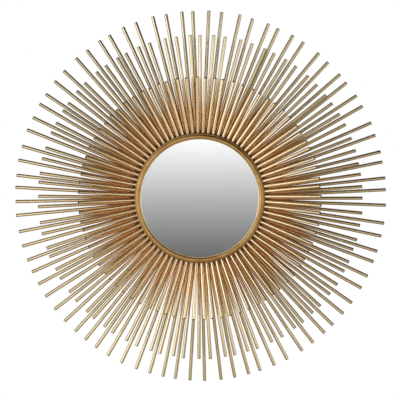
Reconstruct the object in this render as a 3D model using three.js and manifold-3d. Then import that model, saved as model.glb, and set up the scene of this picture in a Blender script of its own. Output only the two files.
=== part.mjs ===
// Sunburst wall mirror: a round glass in a rounded ring, with three rows of thin
// metal tubes fanning out from it. Each row is welded to a square hoop; the hoops
// sit one on the other round a wooden hub, and the hub's back lies on the wall.
//
// Millimetres. The wall is the plane y = 0, the mirror faces -Y, +X is to the right
// as one looks at it, and +Z is up. The origin is the middle of the hub's back.
// "depth" is the distance in front of the wall, so y = -depth.
import * as THREE from 'three';
import { mergeVertices } from 'three/addons/utils/BufferGeometryUtils.js';
import Module from 'manifold-3d';

const wasm = await Module();
wasm.setup();

// ---------------------------------------------------------------- dimensions
const FIT = 0.3;                    // gap between two pieces that touch
const DEG = Math.PI / 180;

const TUBE_DIAMETER = 9;
const TUBE_SIDES = 6;                // 240 tubes, so each has as few sides as reads as round
const RODS_PER_ROW = 80;
const ROD_PITCH = 360 / RODS_PER_ROW;
const FIRST_ROD = 1.67;             // angle of the first rod, up from +X, in degrees

const FLANGE_RADIUS = 172;          // the hub's back flange, which lies on the wall
const FLANGE_DEPTH = 6;
const HUB_RADIUS = 162;
const HOOP_INNER = 163;
const HOOP_OUTER = 175;
const HOOP_STEP = 12;               // from one hoop to the next
const HUB_DEPTH = FLANGE_DEPTH + 3 * HOOP_STEP;

const GLASS_RADIUS = 166.2;
const GLASS_THICKNESS = 4;
const GLASS_BACK = HUB_DEPTH + FIT;
const GLASS_FRONT = GLASS_BACK + GLASS_THICKNESS;

const RING_INNER = 159;             // what shows of the glass
const RING_OUTER = 171;
const RING_REBATE = GLASS_RADIUS + FIT;
const CROWN_HEIGHT = 4.5;           // the ring's front is a low dome
const CROWN_STEPS = 4;              // facets over it

const RODS_PER_FACET = 2;           // each facet of a hoop carries two rods
const ROUND_FACETS = 30;            // for the hub, the glass and the ring

// Each row: its place in the stack, where its tips reach, how far it leans forward, and
// how many rods there are in each of the fans that it is parted into.
const ROWS = [
  { name: 'long_rods', place: 0, tipRadius: 500, lean: 0, turn: 0, seed: 1, fan: 10 },
  { name: 'medium_rods', place: 1, tipRadius: 435, lean: 3.2, turn: ROD_PITCH / 2, seed: 2, fan: 10 },
  { name: 'short_rods', place: 2, tipRadius: 323, lean: 12.5, turn: 0, seed: 3, fan: 4 },
];

// Hand welding leaves each tip a little off its place.
const AIM_SPREAD = 0.45;            // degrees round the mirror
const DEPTH_SPREAD = 1.0;           // millimetres to and from the wall
const LENGTH_SPREAD = 0.7;          // millimetres along the rod

const PLATE = { width: 56, height: 22, thickness: 1.6, corner: 4, z: 112 };
const KEYHOLE = { headRadius: 5, slotRadius: 2.4, rise: 7, drop: 3.5 };
const POCKET = { width: 16, height: 18, depth: 12 };  // room for the wall screw's head
const PLATE_SCREW = { x: 21, headRadius: 3.2, shankRadius: 1.6, length: 16 };
const FLANGE_SCREW = { radius: 167, headRadius: 3.4, shankRadius: 1.7, length: 5.9 };
const SCREW_SIDES = 6;
const SCREW_RECESS = 0.2;          // screw heads sit just under the surface
const DRILL_START = -1;             // holes are cut from just outside the surface

// ----------------------------------------------------------------- materials
function finish(color, roughness, metalness) {
  return new THREE.MeshStandardMaterial({ color, roughness, metalness });
}
const tubeGold = () => finish('#b48a55', 0.34, 0.9);
const ringGold = () => finish('#a5804a', 0.4, 0.9);
const zincSteel = () => finish('#9a9a98', 0.35, 0.9);
const mirrorSilver = () => finish('#dfe3e4', 0.03, 1);
const boardBrown = () => finish('#4a4038', 0.85, 0);

// ------------------------------------------------------------ solid geometry
// A three.js geometry as a closed solid that can be joined and cut.
function solid(geometry) {
  geometry.deleteAttribute('normal');
  geometry.deleteAttribute('uv');
  const merged = mergeVertices(geometry, 1e-4);
  const index = merged.index.array;
  const triVerts = [];
  for (let t = 0; t < index.length; t += 3) {
    const [a, b, c] = index.slice(t, t + 3);
    if (a !== b && b !== c && c !== a) triVerts.push(a, b, c);
  }
  return new wasm.Manifold(new wasm.Mesh({
    numProp: 3,
    vertProperties: new Float32Array(merged.attributes.position.array),
    triVerts: new Uint32Array(triVerts),
  }));
}

function geometryOf(manifold) {
  const { vertProperties, triVerts } = manifold.getMesh();
  const geometry = new THREE.BufferGeometry();
  geometry.setAttribute('position', new THREE.BufferAttribute(vertProperties, 3));
  geometry.setIndex(new THREE.BufferAttribute(triVerts, 1));
  geometry.computeVertexNormals();
  return geometry;
}

// A profile of [radius, depth] points turned round the mirror's axis.
function turned(profile, facets = ROUND_FACETS, start = 0) {
  const points = profile.map(([radius, depth]) => new THREE.Vector2(radius, -depth));
  return new THREE.LatheGeometry(points, facets, start * DEG);
}

function block(width, depth, height, x, y, z) {
  const geometry = new THREE.BoxGeometry(width, depth, height);
  geometry.translate(x, y, z);
  return solid(geometry);
}

// A flat outline in X and Z, with its back at y = 0 and its front at y = -thickness.
function flatPlate(shape, thickness) {
  const geometry = new THREE.ExtrudeGeometry(shape, {
    depth: thickness, bevelEnabled: false, curveSegments: 4,
  });
  geometry.rotateX(90 * DEG);
  return geometry;
}

function mesh(name, geometry, material) {
  const piece = new THREE.Mesh(geometry, material);
  piece.name = name;
  return piece;
}

// --------------------------------------------------------------- rods, hoops
// A steady, uneven value with a spread of about 1, the same each time for rod i.
const sway = (i, seed) => Math.sin(7.31 * i + seed) + Math.sin(3.17 * i + 1.7 * seed);

const hoopDepth = (row) => FLANGE_DEPTH + FIT / 2 + HOOP_STEP * (row.place + 0.5);

// The point at an angle (degrees up from +X), a radius and a depth.
function onMirror(angle, radius, depth) {
  return new THREE.Vector3(radius * Math.cos(angle * DEG), -depth, radius * Math.sin(angle * DEG));
}

function rodEnds(row, i) {
  const angle = FIRST_ROD + row.turn + ROD_PITCH * i;
  const rise = Math.tan(row.lean * DEG);
  const startRadius = (HOOP_INNER + HOOP_OUTER) / 2;
  const startDepth = hoopDepth(row) + (startRadius - HOOP_OUTER) * rise;
  const tipRadius = row.tipRadius + LENGTH_SPREAD * sway(i, row.seed + 20);
  const tipDepth = hoopDepth(row) + (tipRadius - HOOP_OUTER) * rise
    + DEPTH_SPREAD * sway(i, row.seed + 10);
  return {
    start: onMirror(angle, startRadius, startDepth),
    tip: onMirror(angle + AIM_SPREAD * sway(i, row.seed), tipRadius, tipDepth),
  };
}

function rodSection() {
  const corners = [];
  for (let k = 0; k < TUBE_SIDES; k += 1) {
    const turn = 360 * DEG * k / TUBE_SIDES;
    corners.push(new THREE.Vector2(Math.cos(turn), Math.sin(turn)).multiplyScalar(TUBE_DIAMETER / 2));
  }
  return new THREE.Shape(corners);
}

function rod(start, tip) {
  const along = new THREE.Vector3().subVectors(tip, start);
  const geometry = new THREE.ExtrudeGeometry(rodSection(), { depth: along.length(), bevelEnabled: false });
  geometry.applyQuaternion(new THREE.Quaternion().setFromUnitVectors(
    new THREE.Vector3(0, 0, 1), along.clone().normalize()));
  geometry.translate(start.x, start.y, start.z);
  return solid(geometry);
}

// The arc of the square hoop that carries a fan, from one angle to another.
function hoopArc(row, from, to) {
  const spare = FIT / 2 / HOOP_INNER / DEG;
  const facets = row.fan / RODS_PER_FACET;
  const outer = [];
  const inner = [];
  for (let k = 0; k <= facets; k += 1) {
    let angle = from + (to - from) * k / facets;
    if (k === 0) angle += spare;
    if (k === facets) angle -= spare;
    const out = new THREE.Vector2(Math.cos(angle * DEG), Math.sin(angle * DEG));
    outer.push(out.clone().multiplyScalar(HOOP_OUTER));
    inner.unshift(out.clone().multiplyScalar(HOOP_INNER));
  }
  const thickness = HOOP_STEP - FIT;
  const geometry = flatPlate(new THREE.Shape([...outer, ...inner]), thickness);
  geometry.translate(0, thickness / 2 - hoopDepth(row), 0);
  return solid(geometry);
}

// A fan of neighbouring rods welded to their arc of the hoop, as one solid.
function fan(row, number) {
  const first = number * row.fan;
  const from = FIRST_ROD + row.turn + ROD_PITCH * (first - 0.5);
  let joined = hoopArc(row, from, from + ROD_PITCH * row.fan);
  for (let i = first; i < first + row.fan; i += 1) {
    const { start, tip } = rodEnds(row, i);
    joined = joined.add(rod(start, tip));
  }
  return mesh(`${row.name}_${number + 1}`, geometryOf(joined), tubeGold());
}

function rodRow(row) {
  const fans = [];
  for (let number = 0; number < RODS_PER_ROW / row.fan; number += 1) fans.push(fan(row, number));
  return fans;
}

// ------------------------------------------------------------ glass and ring
function mirrorGlass() {
  return mesh('mirror_glass', turned([
    [0, GLASS_FRONT],
    [GLASS_RADIUS, GLASS_FRONT],
    [GLASS_RADIUS, GLASS_BACK],
    [0, GLASS_BACK],
  ]), mirrorSilver());
}

// A low domed front over a skirt, with a rebate that holds the rim of the glass.
function ringFrame() {
  const middle = (RING_INNER + RING_OUTER) / 2;
  const half = (RING_OUTER - RING_INNER) / 2;
  const lip = GLASS_FRONT + FIT;
  const crown = [];
  for (let k = 0; k <= CROWN_STEPS; k += 1) {
    const turn = (180 - 180 * k / CROWN_STEPS) * DEG;
    crown.push([middle + half * Math.cos(turn), lip + CROWN_HEIGHT * Math.sin(turn)]);
  }
  const back = GLASS_BACK;
  const profile = [...crown, [RING_OUTER, back], [RING_REBATE, back], [RING_REBATE, lip], crown[0]];
  return mesh('ring_frame', turned(profile), ringGold());
}

// ---------------------------------------------------------- hub and hardware
function screwSpots() {
  const spots = [-1, 1].map((side, k) => ({
    name: ['hanger_screw_left', 'hanger_screw_right'][k],
    x: side * PLATE_SCREW.x, z: PLATE.z, size: PLATE_SCREW,
  }));
  for (let k = 0; k < 4; k += 1) {
    const place = onMirror(45 + 90 * k, FLANGE_SCREW.radius, 0);
    spots.push({ name: `hub_screw_${k + 1}`, x: place.x, z: place.z, size: FLANGE_SCREW });
  }
  return spots;
}

// A countersunk screw whose head ends at depth "top" or, with room to spare round
// it, the hole that it goes in. The head is a cone of 45 degrees.
function countersunk(size, room, top) {
  const head = size.headRadius + room - top;
  const shank = size.shankRadius + room;
  const neck = size.headRadius - size.shankRadius;
  const end = size.length + room;
  return turned([[0, end], [shank, end], [shank, neck], [head, top], [0, top]], SCREW_SIDES);
}

function hub() {
  let body = solid(turned([
    [0, HUB_DEPTH],
    [HUB_RADIUS, HUB_DEPTH],
    [HUB_RADIUS, FLANGE_DEPTH],
    [FLANGE_RADIUS, FLANGE_DEPTH],
    [FLANGE_RADIUS, 0],
    [0, 0],
  ]));
  const seat = PLATE.thickness + FIT;
  body = body.subtract(block(
    PLATE.width + 2 * FIT, 2 * seat, PLATE.height + 2 * FIT, 0, 0, PLATE.z));
  body = body.subtract(block(
    POCKET.width, 2 * POCKET.depth, POCKET.height, 0, 0, PLATE.z));
  for (const spot of screwSpots()) {
    const hole = countersunk(spot.size, FIT, DRILL_START);
    hole.translate(spot.x, 0, spot.z);
    body = body.subtract(solid(hole));
  }
  return mesh('hub_board', geometryOf(body), boardBrown());
}

function hangerPlate() {
  const outline = new THREE.Shape();
  const w = PLATE.width / 2;
  const h = PLATE.height / 2;
  const c = PLATE.corner;
  outline.moveTo(-w + c, -h).lineTo(w - c, -h).lineTo(w, -h + c).lineTo(w, h - c);
  outline.lineTo(w - c, h).lineTo(-w + c, h).lineTo(-w, h - c).lineTo(-w, -h + c);

  // The keyhole: a screw's head enters the round hole, and its shank rises in the slot.
  const keyhole = new THREE.Path();
  const { headRadius, slotRadius, rise, drop } = KEYHOLE;
  const meet = Math.asin(slotRadius / headRadius);
  keyhole.absarc(0, -drop, headRadius, 90 * DEG + meet, 450 * DEG - meet, false);
  keyhole.absarc(0, rise - slotRadius, slotRadius, 0, 180 * DEG, false);
  outline.holes.push(keyhole);

  let plate = solid(flatPlate(outline, PLATE.thickness)).translate([0, 0, PLATE.z]);
  for (const spot of screwSpots().filter(({ size }) => size === PLATE_SCREW)) {
    const hole = countersunk(spot.size, FIT, DRILL_START);
    hole.translate(spot.x, 0, spot.z);
    plate = plate.subtract(solid(hole));
  }
  return mesh('hanger_plate', geometryOf(plate), zincSteel());
}

function screws() {
  return screwSpots().map(({ name, x, z, size }) => {
    const screw = mesh(name, countersunk(size, 0, SCREW_RECESS), zincSteel());
    screw.position.set(x, 0, z);
    return screw;
  });
}

// ------------------------------------------------------------------ assembly
const mirror = new THREE.Group();
mirror.name = 'sunburst_wall_mirror';
mirror.add(hub(), hangerPlate(), ...screws());
mirror.add(...ROWS.flatMap(rodRow));
mirror.add(mirrorGlass(), ringFrame());

export default mirror;
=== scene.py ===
# %% [markdown]
# # A sunburst wall mirror
# The mirror is a small round glass in a rounded gold ring. Three rows of thin steel
# tubes fan out from it: long ones flat against the wall, medium ones half a step
# round from them, and short ones in front that lean towards the room. Each row is
# welded to a square hoop, and the hoops sit on a dark board that hangs on the wall.
#
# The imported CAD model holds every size. This lesson makes the visible surfaces
# round it: the bored tube ends, the weld beads, the soft edges and the finishes.

# %% Load the frame
import math
from collections import namedtuple

import bmesh
import bpy
from mathutils import Matrix, Vector


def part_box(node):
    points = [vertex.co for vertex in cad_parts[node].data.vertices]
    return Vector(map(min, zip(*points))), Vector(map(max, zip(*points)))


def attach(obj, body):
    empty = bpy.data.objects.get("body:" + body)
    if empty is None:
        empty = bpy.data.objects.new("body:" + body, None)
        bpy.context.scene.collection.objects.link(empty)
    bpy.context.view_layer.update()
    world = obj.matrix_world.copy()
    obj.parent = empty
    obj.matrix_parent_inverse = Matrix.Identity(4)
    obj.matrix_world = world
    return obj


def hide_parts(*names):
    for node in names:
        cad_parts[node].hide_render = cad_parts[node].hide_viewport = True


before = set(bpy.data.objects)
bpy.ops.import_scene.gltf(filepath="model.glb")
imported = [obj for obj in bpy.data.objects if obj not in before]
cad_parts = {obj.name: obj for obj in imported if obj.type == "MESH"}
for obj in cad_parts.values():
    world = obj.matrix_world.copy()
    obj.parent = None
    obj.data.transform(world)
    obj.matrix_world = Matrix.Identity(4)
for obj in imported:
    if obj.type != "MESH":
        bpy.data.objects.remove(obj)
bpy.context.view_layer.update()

# %% [markdown]
# ## Sizes
# The glass, the ring and the board are measured from their CAD nodes, so they can
# never drift from them. A row of tubes can't be measured so simply, because every
# tip is a little off its place, so its few driving sizes are stated here, as a
# welder would have them on the drawing. Depth is the distance out from the wall,
# and the mirror faces -Y, so y is minus the depth.

# %% Sizes
MM = 0.001


def corners_of(node):
    return [Vector(corner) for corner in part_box(node)]


def radius_of(node):
    """A round CAD node has flat facets, and its highest point is a true corner."""
    low, high = corners_of(node)
    return (high.z - low.z) / 2


glass_low, glass_high = corners_of("mirror_glass")
ring_low, ring_high = corners_of("ring_frame")
board_low, _ = corners_of("hub_board")
plate_low, plate_high = corners_of("hanger_plate")

GLASS_RADIUS = radius_of("mirror_glass")
RING_OUTER = radius_of("ring_frame")
RING_INNER = RING_OUTER - 12 * MM
FLANGE_RADIUS = radius_of("hub_board")
FLANGE_DEPTH = 6 * MM
BOARD_DEPTH = -board_low.y
BOARD_RADIUS = 162 * MM

HOOP_INNER = 163 * MM
HOOP_OUTER = 175 * MM
HOOP_STEP = 12 * MM
HOOP_GAP = 0.3 * MM

TUBE_RADIUS = 4.5 * MM
TUBE_WALL = 0.7 * MM
TUBES_PER_ROW = 80
PITCH = 360 / TUBES_PER_ROW
FIRST_TUBE = 1.67
AIM_SPREAD = 0.45
DEPTH_SPREAD = 1.0 * MM
LENGTH_SPREAD = 0.7 * MM

Row = namedtuple("Row", "name place tip_radius lean turn seed")
ROWS = [
    Row("long", 0, 500 * MM, 0.0, 0.0, 1),
    Row("medium", 1, 435 * MM, 3.2, PITCH / 2, 2),
    Row("short", 2, 323 * MM, 12.5, 0.0, 3),
]


def row_nodes(row):
    """The CAD nodes of a row, which is parted into fans there."""
    return sorted(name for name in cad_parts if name.startswith(f"{row.name}_rods"))


print("glass radius", round(GLASS_RADIUS / MM, 1), "mm, ring", round(RING_OUTER / MM, 1), "mm")

# %% [markdown]
# ## Shader sums in plain Python
# A finish is easiest to read as a sum: tone = broad * 0.6 + fine * 0.4. Blender can
# join Math nodes by hand, one at a time, or a small class can make them behind the
# usual signs. `Reading` wraps one socket and gives it those signs, so that 1 - worn
# works as well as worn * 0.5. `Nodes` makes any other node: it is told the node's
# type, then its settings, then what goes into its sockets.

# %% Readings and nodes
class Reading:
    """What one shader socket reads, usable in sums with numbers and other readings."""

    def __init__(self, nodes, socket):
        self.nodes = nodes
        self.socket = socket

    def __add__(self, other):
        return self.nodes.maths("ADD", self, other)

    def __sub__(self, other):
        return self.nodes.maths("SUBTRACT", self, other)

    def __rsub__(self, other):
        return self.nodes.maths("SUBTRACT", other, self)

    def __mul__(self, other):
        return self.nodes.maths("MULTIPLY", self, other)

    def __pow__(self, other):
        return self.nodes.maths("POWER", self, other)

    __radd__ = __add__


class Nodes:
    """A node tree with one method for any node, and short names for the usual ones."""

    def __init__(self, tree):
        self.tree = tree

    def feed(self, socket, value):
        if isinstance(value, Reading):
            self.tree.links.new(value.socket, socket)
        elif isinstance(value, tuple) and socket.type == "RGBA":
            socket.default_value = (*value[:3], 1.0)
        else:
            socket.default_value = value

    def add(self, kind, settings=None, sockets=None, output=0):
        node = self.tree.nodes.new("ShaderNode" + kind)
        for key, value in (settings or {}).items():
            setattr(node, key, value)
        for key, value in (sockets or {}).items():
            self.feed(node.inputs[key], value)
        return Reading(self, node.outputs[output])

    def maths(self, operation, first, second=0.0):
        return self.add("Math", {"operation": operation}, {0: first, 1: second})

    def step(self, value, low, high, start=0.0, end=1.0):
        """start below low, end above high, and a smooth change between them."""
        return self.add("MapRange", {"interpolation_type": "SMOOTHSTEP"},
                        {0: value, 1: low, 2: high, 3: start, 4: end})

    def blend(self, first, second, share):
        """The first colour where share is 0, and the second where it is 1."""
        return self.add("Mix", {"data_type": "RGBA"}, {0: share, 6: first, 7: second}, 2)

    def scaled(self, vector, scale):
        return self.add("VectorMath", {"operation": "MULTIPLY"}, {0: vector, 1: scale})

    def noise(self, vector, scale, detail=2.0, roughness=0.5):
        return self.add("TexNoise", {}, {"Vector": vector, "Scale": scale, "Detail": detail,
                                         "Roughness": roughness})

    def parts(self, vector, axis):
        return self.add("SeparateXYZ", {}, {0: vector}, "XYZ".index(axis))


class Finish(Nodes):
    """A material with a Principled shader."""

    def __init__(self, name):
        self.material = bpy.data.materials.new(name)
        self.material.use_nodes = True
        super().__init__(self.material.node_tree)
        self.shader = self.tree.nodes["Principled BSDF"]

    def place(self):
        """Where a point is on the piece, in metres."""
        return self.add("TexCoord", output=3)

    def from_axis(self, place):
        """How far a point is from the mirror's axis, in metres."""
        return self.add("VectorMath", {"operation": "LENGTH"},
                        {0: self.scaled(place, (1.0, 0.0, 1.0))}, 1)

    def attribute(self, name, output=1):
        return self.add("Attribute", {"attribute_name": name}, output=output)

    def bump(self, height, depth, strength=1.0):
        return self.add("Bump", {}, {"Strength": strength, "Distance": depth, "Height": height})

    def wear(self, **sockets):
        for name, value in sockets.items():
            self.feed(self.shader.inputs[name.replace("_", " ").title()], value)
        return self.material


# %% [markdown]
# ## Aged gold on the tubes
# The tubes are steel with a gold leaf lacquer: full gold on the front row, and a pale champagne
# further out. The rows behind it are painted copper near the hub and dark brown closest to it. That
# copper and brown are painted reflection and painted shade: the warm light that the tubes throw
# onto each other, and the shade in the gaps between them. It goes by where a point is on the
# mirror, so it reads Object coordinates: the distance from the mirror's axis, and the depth from
# the wall.
#
# Small brown flecks where the leaf is rubbed through, and faint marks from the draw
# bench, belong to one tube. Object coordinates would run them straight across its
# neighbours, so each tube carries its own place in an attribute called grain: x and
# y across the tube, z along it, shifted by a different amount for each tube. A
# second attribute, reach, runs from 0 at the hoop to 1 at the tip and makes the
# half nearer the hub a little duller, as dust would.

# %% Tube gold
CHAMPAGNE = (0.68, 0.60, 0.42)
GOLD = (0.93, 0.76, 0.53)
# painted warm reflection: copper on the rows behind the front one, near the hub
COPPER = (0.80, 0.46, 0.21)
RUBBED = (0.20, 0.10, 0.04)
# painted shade: dark brown in the gaps closest to the hub, and on the hoops between the tubes
SHADE_BROWN = (0.20, 0.10, 0.04)
FRONT_ROW_FROM = (32 * MM, 42 * MM)
HUB_SHADE_FADE = (184 * MM, 208 * MM)
CHAMPAGNE_FROM = (280 * MM, 500 * MM)
CLOUD_SHIFT = 160 * MM


def tube_gold():
    finish = Finish("tube_gold_leaf")
    grain = finish.attribute("grain")
    reach = finish.attribute("reach", output=2)
    place = finish.place()
    across = finish.from_axis(place)
    # The front row keeps the full gold; the rows behind take the painted reflection and shade.
    front_row = finish.step(finish.parts(place, "Y") * -1, *FRONT_ROW_FROM)
    clouds = finish.noise(finish.scaled(grain, (22.0, 22.0, 9.0)), 1.0, 2.0)
    mottle = finish.noise(finish.scaled(grain, (420.0, 420.0, 130.0)), 1.0, 4.0, 0.6)
    drawn = finish.noise(finish.scaled(grain, (1500.0, 1500.0, 30.0)), 1.0, 2.0)
    fleck = finish.step(finish.noise(grain, 620.0, 3.0, 0.65), 0.67, 0.76)
    # On the rows behind: painted shade (dark brown) closest to the hub, then painted warm
    # reflection (copper).
    out_of_hub_shade = finish.step(across + mottle * 0.02, *HUB_SHADE_FADE)
    pale = finish.step(across + clouds * CLOUD_SHIFT + mottle * 0.06, *CHAMPAGNE_FROM)
    behind = finish.blend(SHADE_BROWN, COPPER, out_of_hub_shade)
    gold = finish.blend(finish.blend(behind, GOLD, front_row), CHAMPAGNE, pale)
    colour = finish.blend(gold, RUBBED, fleck * 0.7)
    dull = finish.step(reach, 0.0, 0.5, 1.0, 0.0)
    return finish.wear(
        base_color=colour,
        metallic=1.0 - fleck * 0.35,
        roughness=0.16 + mottle * 0.10 + drawn * 0.06 + dull * 0.04 + fleck * 0.2,
        normal=finish.bump(drawn * 0.6 + mottle * 0.4 - fleck * 0.5, 0.00012, 0.3),
    )


# The bore and the last of the wall at the cut end are painted near-black, with a faint mottle.
def bore_steel():
    finish = Finish("bore_steel")
    grain = finish.attribute("grain")
    bore_mottle = finish.noise(grain, 260.0, 3.0)
    return finish.wear(
        base_color=finish.blend((0.012, 0.009, 0.008), (0.030, 0.022, 0.016), bore_mottle),
        metallic=0.5,
        roughness=0.6 + bore_mottle * 0.25,
    )


TUBE_GOLD = tube_gold()
BORE_STEEL = bore_steel()
print("made", TUBE_GOLD.name, "and", BORE_STEEL.name)

# %% [markdown]
# ## Satin gold on the ring and the hoops
# The ring has the same lacquer, laid on thicker and rubbed down to a satin. It is
# one piece on the mirror's own axes, so plain Object coordinates do. The fine lines
# run round the ring. A noise on the distance from the axis alone draws closed
# circles, and a little ordinary noise added to that distance breaks them up as a
# rubbing cloth does.
#
# The same distance splits the finish in three. The bead beside the glass is painted pale, a painted
# highlight. The ring's crown is satin. The hoops outside the ring are painted dark brown, a painted
# shade that sinks them into the gaps between the tubes.

# %% Ring gold
SATIN_GOLD = (0.60, 0.41, 0.18)
DEEP_GOLD = (0.42, 0.26, 0.10)
# painted highlight: the bead beside the glass is painted a pale gold so that it shows a bright line
BEAD_HIGHLIGHT = (0.95, 0.85, 0.66)
BEAD_HIGHLIGHT_TO = (RING_INNER + 0.2 * MM, RING_INNER + 0.7 * MM)
# painted shade: the hoops outside the ring are painted dark brown, as if in the shade between the
# tubes
HOOP_SHADE_FROM = (RING_OUTER + 0.5 * MM, RING_OUTER + 2.5 * MM)


def ring_gold():
    finish = Finish("ring_satin_gold")
    place = finish.place()
    across = finish.from_axis(place)
    clouds = finish.noise(place, 28.0, 3.0)
    mottle = finish.noise(place, 330.0, 4.0, 0.6)
    rubbed_lines = finish.noise(finish.add(
        "CombineXYZ", {}, {0: (across + clouds * 0.0008) * 2600.0, 1: clouds * 3.0}), 1.0, 2.0)
    fleck = finish.step(finish.noise(place, 540.0, 3.0, 0.65), 0.68, 0.77)
    tone = finish.step(clouds * 0.6 + mottle * 0.4, 0.38, 0.62)
    crown = finish.blend(finish.blend(SATIN_GOLD, DEEP_GOLD, tone), RUBBED, fleck * 0.6)
    # A painted highlight on the bead beside the glass.
    bead_highlight = finish.step(across, *BEAD_HIGHLIGHT_TO, 1.0, 0.0)
    # Painted shade on the hoops outside the ring.
    at_hoop = finish.step(across, *HOOP_SHADE_FROM)
    return finish.wear(
        base_color=finish.blend(finish.blend(crown, BEAD_HIGHLIGHT, bead_highlight), SHADE_BROWN, at_hoop),
        metallic=1.0 - fleck * 0.3,
        roughness=0.30 + mottle * 0.10 + rubbed_lines * 0.06 + fleck * 0.15,
        normal=finish.bump(rubbed_lines * 0.5 + mottle * 0.5 - fleck * 0.4, 0.00010, 0.5),
    )


RING_GOLD = ring_gold()
print("made", RING_GOLD.name)

# %% [markdown]
# ## Silvered glass
# A wall mirror is clear glass with silver on its back. Glass over metal could be
# built as two pieces, but the eye sees one bright surface, so one metal shader with
# a very slight green-grey tint stands for both. What keeps it from looking like an
# empty hole is the little that a real one carries: a faint film left by the last
# wipe, in long arcs, which only the roughness shows.

# %% Silvered glass
def silvered_glass():
    finish = Finish("silver_behind_glass")
    place = finish.place()
    haze = finish.noise(finish.scaled(place, (5.0, 5.0, 16.0)), 1.0, 3.0)
    film = finish.step(haze, 0.45, 0.75)
    specks = finish.step(finish.noise(place, 900.0, 1.0), 0.78, 0.82)
    return finish.wear(
        base_color=finish.blend((0.955, 0.965, 0.962), (0.925, 0.94, 0.935), film),
        metallic=1.0,
        roughness=0.012 + film * 0.016 + specks * 0.05,
    )


SILVERED_GLASS = silvered_glass()
print("made", SILVERED_GLASS.name)

# %% [markdown]
# ## The board, the hanger and the screws
# Nobody sees the back on the wall, so it is plain: fibreboard stained dark, with
# fine fibres and a slight cloudiness where the stain soaked in, and zinc-plated
# steel with the blotchy crystals that plating leaves.

# %% Board and zinc
def stained_board():
    finish = Finish("stained_board")
    place = finish.place()
    fibres = finish.noise(finish.scaled(place, (260.0, 260.0, 900.0)), 1.0, 4.0, 0.6)
    soak = finish.noise(place, 14.0, 3.0)
    rubs = finish.noise(finish.scaled(place, (60.0, 60.0, 220.0)), 1.0, 3.0)
    scuff = finish.step(rubs, 0.62, 0.70)
    stain = finish.blend((0.060, 0.043, 0.030), (0.115, 0.086, 0.062), fibres * 0.5 + soak * 0.5)
    return finish.wear(
        base_color=finish.blend(stain, (0.20, 0.16, 0.12), scuff * 0.45),
        roughness=0.72 + fibres * 0.18,
        normal=finish.bump(fibres, 0.00015, 0.5),
    )


def zinc_plate():
    finish = Finish("zinc_plate")
    place = finish.place()
    crystals = finish.add("TexVoronoi", {"feature": "F1"}, {"Vector": place, "Scale": 420.0})
    haze = finish.noise(place, 160.0, 3.0)
    blotch = crystals * 0.5 + haze * 0.5
    return finish.wear(
        base_color=finish.blend((0.50, 0.51, 0.50), (0.68, 0.68, 0.66), blotch),
        metallic=0.95,
        roughness=0.30 + crystals * 0.12 + haze * 0.10,
        normal=finish.bump(haze, 0.00008, 0.4),
    )


STAINED_BOARD = stained_board()
ZINC_PLATE = zinc_plate()
print("made", STAINED_BOARD.name, "and", ZINC_PLATE.name)

# %% [markdown]
# ## From a bmesh to a piece
# Every piece ends the same way: its normals face out, sharp edges stay sharp and
# the rest is shaded smooth, it gets its finishes, and it rides on the body named
# root, because nothing on the mirror moves. One helper does all of that.

# %% Making a piece
def piece(name, shape, finishes, stands_for, sharp=35.0):
    mesh = bpy.data.meshes.new(name)
    shape.to_mesh(mesh)
    shape.free()
    for finish in finishes:
        mesh.materials.append(finish)
    mesh.polygons.foreach_set("use_smooth", [True] * len(mesh.polygons))
    mesh.set_sharp_from_angle(angle=math.radians(sharp))
    made = bpy.data.objects.new(name, mesh)
    bpy.context.scene.collection.objects.link(made)
    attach(made, "root")
    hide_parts(*stands_for)
    print(name, "has", len(mesh.polygons), "faces")
    return made


# %% [markdown]
# ## Turned pieces
# The glass, the ring, the hoops and the board are all round, so each is a profile
# turned about the mirror's axis. A profile could be a curve with a Screw modifier;
# a bmesh spin gives a finished mesh at once and lets the same helper serve all.
# Corners are rounded by walking an arc between the two straight stretches, because
# a real edge always catches a line of light.

# %% Turning a profile
ROUND_STEPS = 192


def arc(centre, radius, start, end, steps):
    """Points of [radius, depth] on an arc, from one angle to another in degrees."""
    points = []
    for k in range(steps + 1):
        turn = math.radians(start + (end - start) * k / steps)
        points.append((centre[0] + radius * math.cos(turn), centre[1] + radius * math.sin(turn)))
    return points


def turned(profile, closed, steps=ROUND_STEPS, centre=(0.0, 0.0, 0.0), shape=None):
    """A solid of revolution about an axis along Y, from [radius, depth] points."""
    shape = shape or bmesh.new()
    corners = [shape.verts.new(Vector(centre) + Vector((radius, -depth, 0.0)))
               for radius, depth in profile]
    edges = [shape.edges.new(pair) for pair in zip(corners, corners[1:])]
    if closed:
        edges.append(shape.edges.new((corners[-1], corners[0])))
    bmesh.ops.spin(shape, geom=corners + edges, cent=centre, axis=(0, 1, 0),
                   angle=math.tau, steps=steps, use_merge=True)
    bmesh.ops.remove_doubles(shape, verts=shape.verts, dist=1e-6)
    bmesh.ops.recalc_face_normals(shape, faces=shape.faces)
    return shape


def rounded_box(inner, outer, back, front, edge, steps=3):
    """A closed profile: a rectangle of radius and depth with rounded corners."""
    return [
        *arc((outer - edge, front - edge), edge, 90, 0, steps),
        *arc((outer - edge, back + edge), edge, 0, -90, steps),
        *arc((inner + edge, back + edge), edge, 270, 180, steps),
        *arc((inner + edge, front - edge), edge, 180, 90, steps),
    ]


# %% [markdown]
# ## The glass
# Float glass 4 mm thick, cut round, with the sharp arris ground off. The ring hides
# the ground edge, but it is there for a close look from the side.

# %% Glass
ARRIS = 0.5 * MM
glass_back, glass_front = -glass_high.y, -glass_low.y
piece("mirror_pane", turned([
    (0.0, glass_front),
    (GLASS_RADIUS - ARRIS, glass_front),
    (GLASS_RADIUS, glass_front - ARRIS),
    (GLASS_RADIUS, glass_back + ARRIS),
    (GLASS_RADIUS - ARRIS, glass_back),
    (0.0, glass_back),
], closed=False), [SILVERED_GLASS], ["mirror_glass"])
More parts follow.
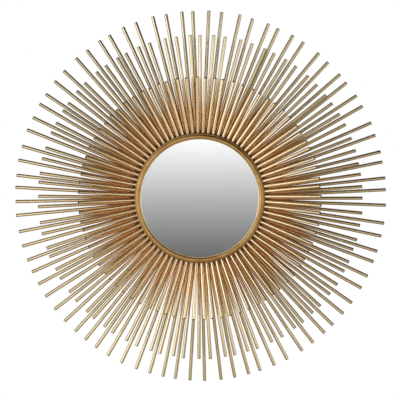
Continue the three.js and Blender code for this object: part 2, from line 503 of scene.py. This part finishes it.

# %% [markdown]
# ## The ring
# A rolled moulding: a low rounded crown over a skirt, with a step inside that holds the glass. Its
# inner edge is rolled over into a small round bead, just clear of the glass, and the bead carries a
# painted highlight that shows as a thin pale line. The crown is half an ellipse, and its first
# steps are left out where the bead takes their place.

# %% Ring
LIP_EDGE = 0.7 * MM
LIP_BEAD = 0.9 * MM
BEAD_OVERHANG = 0.5 * MM
CROWN_STEPS = 20
BEAD_STEPS = 3
ring_back, ring_front = -ring_high.y, -ring_low.y
lip = glass_front + HOOP_GAP
ring_middle = (RING_INNER + RING_OUTER) / 2
ring_half = (RING_OUTER - RING_INNER) / 2
crown_height = ring_front - lip
crown = [
    (ring_middle - ring_half * math.cos(turn), lip + crown_height * math.sin(turn))
    for turn in (math.pi * k / CROWN_STEPS for k in range(BEAD_STEPS, CROWN_STEPS))
]
piece("gold_ring", turned([
    *arc((RING_INNER - BEAD_OVERHANG, lip + LIP_BEAD), LIP_BEAD, 270, 20, 8),
    *crown,
    (RING_OUTER, lip),
    *arc((RING_OUTER - LIP_EDGE, ring_back + LIP_EDGE), LIP_EDGE, 0, -90, 3),
    (GLASS_RADIUS + HOOP_GAP, ring_back),
    (GLASS_RADIUS + HOOP_GAP, lip),
], closed=True), [RING_GOLD], ["ring_frame"], sharp=50.0)

# %% [markdown]
# ## The hoops
# Each row of tubes is welded to a hoop rolled from 12 mm square tube, whose corners are soft, as
# all drawn square tube has. Only a thin line of the front hoop shows, just outside the ring. The
# hoops share the ring's finish, which paints them dark brown there: painted shade between the
# tubes.

# %% Hoops
HOOP_EDGE = 1.5 * MM


def hoop_middle(row):
    return FLANGE_DEPTH + HOOP_GAP / 2 + HOOP_STEP * (row.place + 0.5)


for row in ROWS:
    half = (HOOP_STEP - HOOP_GAP) / 2
    middle = hoop_middle(row)
    profile = rounded_box(HOOP_INNER, HOOP_OUTER, middle - half, middle + half, HOOP_EDGE)
    piece(f"{row.name}_hoop", turned(profile, closed=True), [RING_GOLD],
          row_nodes(row))

# %% [markdown]
# ## The tubes
# 240 tubes are the whole character of the piece, so each has what the eye looks for and nothing
# more: a weld bead at the hoop, a straight wall, a slightly tapered end, and an open bore. The end
# and the bore are painted near-black. A profile of radius and length turned about the tube's own
# axis gives all of it in a few dozen faces. The alternative, a cylinder with its end inset and
# pushed in, needs the same faces and more steps.
#
# Nobody welds 240 tubes dead straight. Each tip is a little off its place, by an
# even spread that comes from a sum of two sines of the tube's number, so that the
# same tube is off by the same amount on every run and in the CAD model.

# %% Tubes
TUBE_SIDES = 12
BEAD_RADIUS = 5.6 * MM
BEAD_LENGTH = 1.8 * MM
BORE_DEPTH = 14 * MM
RIM_EDGE = 0.25 * MM
CUT_END = 1.4 * MM
BURIED = 1.2 * MM


def sway(i, seed):
    return math.sin(7.31 * i + seed) + math.sin(3.17 * i + 1.7 * seed)


def on_mirror(angle, radius, depth):
    turn = math.radians(angle)
    return Vector((radius * math.cos(turn), -depth, radius * math.sin(turn)))


def tube_ends(row, i):
    """Where a tube's axis leaves its hoop, and where it ends."""
    angle = FIRST_TUBE + row.turn + PITCH * i
    rise = math.tan(math.radians(row.lean))
    middle = hoop_middle(row)
    at_hoop = (HOOP_INNER + HOOP_OUTER) / 2
    start = on_mirror(angle, at_hoop, middle + (at_hoop - HOOP_OUTER) * rise)
    tip_radius = row.tip_radius + LENGTH_SPREAD * sway(i, row.seed + 20)
    tip_depth = middle + (tip_radius - HOOP_OUTER) * rise + DEPTH_SPREAD * sway(i, row.seed + 10)
    tip = on_mirror(angle + AIM_SPREAD * sway(i, row.seed), tip_radius, tip_depth)
    along = (tip - start).normalized()
    return start + along * (HOOP_OUTER - at_hoop - BURIED), tip


def first_tube(shape):
    """One tube a metre long standing at the origin. Returns all that it is made of."""
    bore = TUBE_RADIUS - TUBE_WALL
    profile = [
        (BEAD_RADIUS, 0.0),
        (BEAD_RADIUS - 0.4 * MM, BURIED + BEAD_LENGTH / 2),
        (TUBE_RADIUS, BURIED + BEAD_LENGTH),
        (TUBE_RADIUS, 1.0 - CUT_END),
        (TUBE_RADIUS - RIM_EDGE, 1.0),
        (bore, 1.0),
        (bore, 1.0 - BORE_DEPTH),
    ]
    corners = [shape.verts.new((radius, 0.0, z)) for radius, z in profile]
    edges = [shape.edges.new(pair) for pair in zip(corners, corners[1:])]
    bmesh.ops.spin(shape, geom=corners + edges, cent=(0, 0, 0), axis=(0, 0, 1),
                   angle=math.tau, steps=TUBE_SIDES, use_merge=True)
    bmesh.ops.holes_fill(shape, edges=shape.edges, sides=0)
    bmesh.ops.recalc_face_normals(shape, faces=shape.faces)
    for face in shape.faces:
        # The bore, and the outside of the wall over the last 1.4 mm, take the near-black second
        # finish.
        inside = all(vert.co.xy.length < bore + 0.01 * MM for vert in face.verts)
        cut = face.calc_center_median().z > 1.0 - CUT_END
        face.material_index = 1 if inside or cut else 0
    return [*shape.verts, *shape.edges, *shape.faces]


def tube_row(row):
    shape = bmesh.new()
    grain = shape.verts.layers.float_vector.new("grain")
    reach = shape.verts.layers.float.new("reach")
    pattern = first_tube(shape)
    for i in range(TUBES_PER_ROW):
        start, tip = tube_ends(row, i)
        along = tip - start
        copied = bmesh.ops.duplicate(shape, geom=pattern)["geom"]
        verts = [each for each in copied if isinstance(each, bmesh.types.BMVert)]
        for vert in verts:
            if vert.co.z > 0.5:
                vert.co.z += along.length - 1.0
            vert[grain] = vert.co + Vector((0.31, 0.17, 0.53)) * (i + TUBES_PER_ROW * row.seed)
            vert[reach] = vert.co.z / along.length
        turn = along.to_track_quat("Z", "Y").to_matrix().to_4x4()
        bmesh.ops.transform(shape, matrix=Matrix.Translation(start) @ turn, verts=verts)
    bmesh.ops.delete(shape, geom=[each for each in pattern if isinstance(each, bmesh.types.BMVert)],
                     context="VERTS")
    return shape


for row in ROWS:
    piece(f"{row.name}_tubes", tube_row(row), [TUBE_GOLD, BORE_STEEL],
          row_nodes(row))

# %% [markdown]
# ## Cutting one shape out of another
# The board has a seat for the hanger plate, a pocket behind the keyhole and sunk
# holes for its screws. Cutting them face by face would be slow work. A Boolean
# modifier does it at once, and taking its result as a new bmesh leaves neither the
# modifier nor the cutter behind.

# %% Carving
def loose(name, shape):
    mesh = bpy.data.meshes.new(name)
    shape.to_mesh(mesh)
    shape.free()
    made = bpy.data.objects.new(name, mesh)
    bpy.context.scene.collection.objects.link(made)
    return made


def carved(shape, cutters):
    """The shape less its cutters."""
    blank = loose("blank", shape)
    tool = loose("tool", cutters)
    cut = blank.modifiers.new("cut", "BOOLEAN")
    cut.operation = "DIFFERENCE"
    cut.solver = "EXACT"
    cut.use_self = True
    cut.object = tool
    result = bmesh.new()
    result.from_object(blank, bpy.context.evaluated_depsgraph_get())
    for each in (blank, tool):
        mesh = each.data
        bpy.data.objects.remove(each)
        bpy.data.meshes.remove(mesh)
    return result


def block(width, depth, height, centre, shape=None):
    """A box of the given size about its centre."""
    shape = shape or bmesh.new()
    size = Matrix.Diagonal((width, depth, height, 1.0))
    bmesh.ops.create_cube(shape, size=1.0, matrix=Matrix.Translation(centre) @ size)
    return shape


# %% [markdown]
# ## Screws
# Six small countersunk screws show on the back. A countersunk head is a short cone,
# and the hole that takes it is the same profile with a little room all round, so one
# function draws both. The cross recess is what makes a small disc read as a screw.
# Where each screw is and how wide and long it is comes from its CAD node.

# %% Screws
Screw = namedtuple("Screw", "name x z head shank length")
SCREW_SIDES = 24
SCREW_ROOM = 0.3 * MM
HEAD_SUNK = 0.2 * MM
HOLE_START = -1 * MM
RECESS_WIDTH = 0.8 * MM
RECESS_DEPTH = 1.5 * MM


def measured_screw(name, shank):
    low, high = corners_of(name)
    middle = (low + high) / 2
    return Screw(name, middle.x, middle.z, (high.x - low.x) / 2 + HEAD_SUNK, shank, -low.y)


def countersunk(screw, room, top, shape=None):
    """A screw whose head ends at depth top, or, with room round it, the hole for it."""
    end = screw.length + room
    return turned([
        (0.0, end),
        (screw.shank + room, end),
        (screw.shank + room, screw.head - screw.shank),
        (screw.head + room - top, top),
        (0.0, top),
    ], closed=False, steps=SCREW_SIDES, centre=(screw.x, 0.0, screw.z), shape=shape)


plate_screws = [measured_screw(f"hanger_screw_{side}", 1.6 * MM) for side in ("left", "right")]
hub_screws = [measured_screw(f"hub_screw_{k}", 1.7 * MM) for k in range(1, 5)]
for screw in plate_screws + hub_screws:
    recess = bmesh.new()
    for width, height in ((screw.head, RECESS_WIDTH), (RECESS_WIDTH, screw.head)):
        block(width, 2 * RECESS_DEPTH, height, (screw.x, 0.0, screw.z), recess)
    piece(f"steel_{screw.name}", carved(countersunk(screw, 0.0, HEAD_SUNK), recess),
          [ZINC_PLATE], [screw.name])

# %% [markdown]
# ## The keyhole plate
# The mirror hangs on one wall screw. Its head goes in through the round hole, and
# the mirror then drops until the screw's neck sits at the top of the slot.

# %% Keyhole plate
PLATE_CORNER = 4 * MM
KEYHOLE_RADIUS = 5 * MM
KEYHOLE_DROP = 3.5 * MM
SLOT_RADIUS = 2.4 * MM
SLOT_RISE = 7 * MM
plate_size = plate_high - plate_low
plate_middle = (plate_low + plate_high) / 2
keyhole_z = plate_middle.z - KEYHOLE_DROP
slot_z = plate_middle.z + SLOT_RISE - SLOT_RADIUS
plate_blank = block(*plate_size, plate_middle)
upright = [edge for edge in plate_blank.edges
           if abs(edge.verts[0].co.y - edge.verts[1].co.y) > plate_size.y / 2]
bmesh.ops.bevel(plate_blank, geom=upright, offset=PLATE_CORNER, affect="EDGES",
                segments=5, profile=0.5, material=-1)
keyhole = block(2 * SLOT_RADIUS, 4 * plate_size.y, slot_z - keyhole_z,
                (0.0, 0.0, (slot_z + keyhole_z) / 2))
for radius, z in ((KEYHOLE_RADIUS, keyhole_z), (SLOT_RADIUS, slot_z)):
    turned([(0.0, 2 * plate_size.y), (radius, 2 * plate_size.y),
            (radius, HOLE_START), (0.0, HOLE_START)],
           closed=False, steps=32, centre=(0.0, 0.0, z), shape=keyhole)
for screw in plate_screws:
    countersunk(screw, SCREW_ROOM, HOLE_START, keyhole)
piece("keyhole_plate", carved(plate_blank, keyhole), [ZINC_PLATE], ["hanger_plate"])

# %% [markdown]
# ## The board
# A stepped disc of fibreboard: a thick core that fills the three hoops, and a thin
# flange that lies on the wall and carries the back hoop. The edges are eased by
# sanding. A shallow seat takes the plate, and a deeper pocket behind the keyhole
# leaves room for the wall screw's head.

# %% Board
EASED = 0.8 * MM
POCKET = (16 * MM, 12 * MM, 18 * MM)
board_blank = turned([
    (0.0, BOARD_DEPTH),
    (BOARD_RADIUS - EASED, BOARD_DEPTH),
    (BOARD_RADIUS, BOARD_DEPTH - EASED),
    (BOARD_RADIUS, FLANGE_DEPTH),
    (FLANGE_RADIUS - EASED, FLANGE_DEPTH),
    (FLANGE_RADIUS, FLANGE_DEPTH - EASED),
    (FLANGE_RADIUS, EASED),
    (FLANGE_RADIUS - EASED, 0.0),
    (0.0, 0.0),
], closed=False, steps=128)
seat = block(plate_size.x + 2 * SCREW_ROOM, 2 * (plate_size.y + SCREW_ROOM),
             plate_size.z + 2 * SCREW_ROOM, (0.0, 0.0, plate_middle.z))
block(POCKET[0], 2 * POCKET[1], POCKET[2], (0.0, 0.0, plate_middle.z), seat)
for screw in plate_screws + hub_screws:
    countersunk(screw, SCREW_ROOM, HOLE_START, seat)
piece("fibreboard_hub", carved(board_blank, seat), [STAINED_BOARD], ["hub_board"])

# %% [markdown]
# ## The studio
# The camera sees pure white all round. What the metal sees is another matter.
# Polished metal shows its surroundings and little else, so the studio is dark and
# holds soft panels. They are painted on the far surroundings by bearing and height
# in degrees, like lamps a long way off, because then every tube of a row is lit in
# the same way. Bearing is 0 straight in front of the mirror and grows to the right
# as one looks at it.
#
# World shaders take the same sums as finishes, so `Nodes` serves here too.

# %% Bearing and height
world = bpy.data.worlds.new("studio")
world.use_nodes = True
world.node_tree.nodes.clear()
bpy.context.scene.world = world
studio = Nodes(world.node_tree)
way = studio.add("TexCoord", output=0)
DEGREES = 180 / math.pi
bearing = studio.maths("ARCTAN2", studio.parts(way, "X"), studio.parts(way, "Y") * -1) * DEGREES
height = studio.maths("ARCSINE", studio.parts(way, "Z")) * DEGREES
print("the world knows its bearings")

# %% [markdown]
# ## Panels
# Two soft boxes stand at the mirror's height, a strong one on the left and a weaker
# one on the right, each with a smaller strip nearer the middle. The fills, the side
# walls and the warm floor and ceiling are dim, and keep shaded metal from going
# black.

# %% Panels
Panel = namedtuple("Panel", "name bearing height half_width half_height colour")
PANELS = [
    Panel("left soft box", -62, 1, 42, 14, (1.5, 1.5, 1.45)),
    Panel("left strip", -20, 1, 17, 24, (1.5, 1.5, 1.45)),
    Panel("right soft box", 52, 1, 40, 12, (1.1, 1.1, 1.05)),
    Panel("right strip", 18, 0, 13, 9, (1.2, 1.2, 1.15)),
    Panel("left fill", -45, -30, 45, 60, (0.38, 0.33, 0.25)),
    Panel("right fill", 45, -34, 45, 56, (0.34, 0.28, 0.2)),
    Panel("warm floor in front", 0, -38, 32, 36, (0.50, 0.37, 0.25)),
    Panel("warm ceiling on the left", -40, 45, 42, 26, (0.45, 0.38, 0.28)),
    Panel("right wall", 90, -10, 40, 45, (0.32, 0.32, 0.3)),
    Panel("left wall", -90, 10, 40, 40, (0.32, 0.32, 0.3)),
]
DIM = (0.05, 0.035, 0.02)


def panel_light(panel):
    """The panel's colour, full in its inner half and gone at its edge."""
    across = studio.maths("ABSOLUTE", bearing - panel.bearing)
    rise = studio.maths("ABSOLUTE", height - panel.height)
    mask = (studio.step(across, panel.half_width / 2, panel.half_width, 1.0, 0.0)
            * studio.step(rise, panel.half_height / 2, panel.half_height, 1.0, 0.0))
    return studio.add("VectorMath", {"operation": "SCALE"}, {0: panel.colour, "Scale": mask})


light = studio.add("CombineXYZ", {}, {0: DIM[0], 1: DIM[1], 2: DIM[2]})
for panel in PANELS:
    light = studio.add("VectorMath", {"operation": "ADD"}, {0: light, 1: panel_light(panel)})
print("painted", len(PANELS), "panels")

# %% [markdown]
# ## Behind and straight ahead
# Behind the mirror is a plain glow, below the horizon only. Over the whole back it
# would brighten the tubes' edges and the gaps between them.
#
# Straight ahead is a white sweep that falls off to grey below. The flat glass looks
# at one small patch of the room, so the sweep is only a little larger than that
# patch, and the tubes show hardly any of it. A straight slope raised to the power
# of 2.2 looks even on a screen.

# %% Glow and sweep
BEHIND = (0.6, 0.57, 0.52)
BEHIND_FROM = (0.2, 0.7)
BEHIND_BELOW = (-20, 5)
SWEEP_BEARING = -1.5
SWEEP_SIDES = (4.5, 7.5)
SWEEP_TOP = (-0.8, 1.0)
SWEEP_BOTTOM = (-9.0, -7.6)
SLOPE = {1: -7.0, 2: -1.4, 3: 0.395, 4: 1.065}
SCREEN = 2.2
behind = (studio.step(studio.parts(way, "Y"), *BEHIND_FROM)
          * studio.step(height, *BEHIND_BELOW, 1.0, 0.0))
light = studio.blend(light, BEHIND, behind)
sweep = studio.add("MapRange", {"interpolation_type": "LINEAR"}, {0: height, **SLOPE}) ** SCREEN
sideways = studio.maths("ABSOLUTE", bearing - SWEEP_BEARING)
ahead = (studio.step(sideways, *SWEEP_SIDES, 1.0, 0.0)
         * studio.step(height, *SWEEP_TOP, 1.0, 0.0)
         * studio.step(height, *SWEEP_BOTTOM))
white = studio.add("CombineXYZ", {}, {0: sweep, 1: sweep, 2: sweep})
light = studio.blend(light, white, ahead)
camera_sees = studio.add("LightPath")
background = studio.add("Background", {}, {0: studio.blend(light, (1.0, 1.0, 1.0), camera_sees)})
output = world.node_tree.nodes.new("ShaderNodeOutputWorld")
world.node_tree.links.new(background.socket, output.inputs[0])
print("the world has", len(world.node_tree.nodes), "nodes")

# %% [markdown]
# ## Overhead lamp
# Dim surroundings leave the floor dark, so one large disc lamp hangs above it. It is
# hidden from reflections, and no lamp shows on the metal.

# %% Overhead lamp
overhead_data = bpy.data.lights.new("overhead", "AREA")
overhead_data.shape = "DISK"
overhead_data.size = 3.0
overhead_data.energy = 110
overhead = bpy.data.objects.new("overhead", overhead_data)
overhead.location = (0.0, 0.0, 2.5)
overhead.visible_glossy = False
overhead.visible_camera = False
bpy.context.scene.collection.objects.link(overhead)
print("overhead lamp of", overhead_data.energy, "W")

# %% [markdown]
# ## Floor
# A pale disc well below the mirror. The metal doesn't reflect it, and shows the
# lower half of the studio instead.

# %% Floor
FLOOR_Z = -1.25
FLOOR_RADIUS = 2.2


def floor_paint():
    finish = Finish("floor_paint")
    place = finish.place()
    trodden = finish.noise(place, 1.5, 2.0)
    return finish.wear(
        base_color=finish.blend((0.80, 0.79, 0.77), (0.84, 0.83, 0.81), trodden),
        roughness=0.8,
    )


floor_shape = bmesh.new()
bmesh.ops.create_circle(floor_shape, cap_ends=True, segments=96, radius=FLOOR_RADIUS,
                        matrix=Matrix.Translation((0, 0, FLOOR_Z)))
floor = loose("floor", floor_shape)
floor.data.materials.append(floor_paint())
floor.visible_glossy = False

# %% [markdown]
# ## Camera
# A long lens from 3.6 m away, a little above the mirror's middle and a touch to the
# right, keeps the circle a circle and shows the rows shifted against each other.

# %% Camera
CAMERA_DISTANCE = 3.6
CAMERA_AZIMUTH = math.radians(1.44)
CAMERA_RISE = math.radians(4.3)
HALF_VIEW = 539.8 * MM
camera_data = bpy.data.cameras.new("camera")
camera_data.sensor_width = 36.0
camera_data.lens = camera_data.sensor_width / 2 * CAMERA_DISTANCE / HALF_VIEW
camera = bpy.data.objects.new("camera", camera_data)
aim = Vector((0.0, -12 * MM, -6.8 * MM))
away = Vector((
    math.sin(CAMERA_AZIMUTH) * math.cos(CAMERA_RISE),
    -math.cos(CAMERA_AZIMUTH) * math.cos(CAMERA_RISE),
    math.sin(CAMERA_RISE),
))
camera.location = aim + away * CAMERA_DISTANCE
camera.rotation_euler = away.to_track_quat("Z", "Y").to_euler()
bpy.context.scene.collection.objects.link(camera)
bpy.context.scene.camera = camera
bpy.context.scene.view_settings.view_transform = "Standard"
print("lens", round(camera_data.lens, 1), "mm")
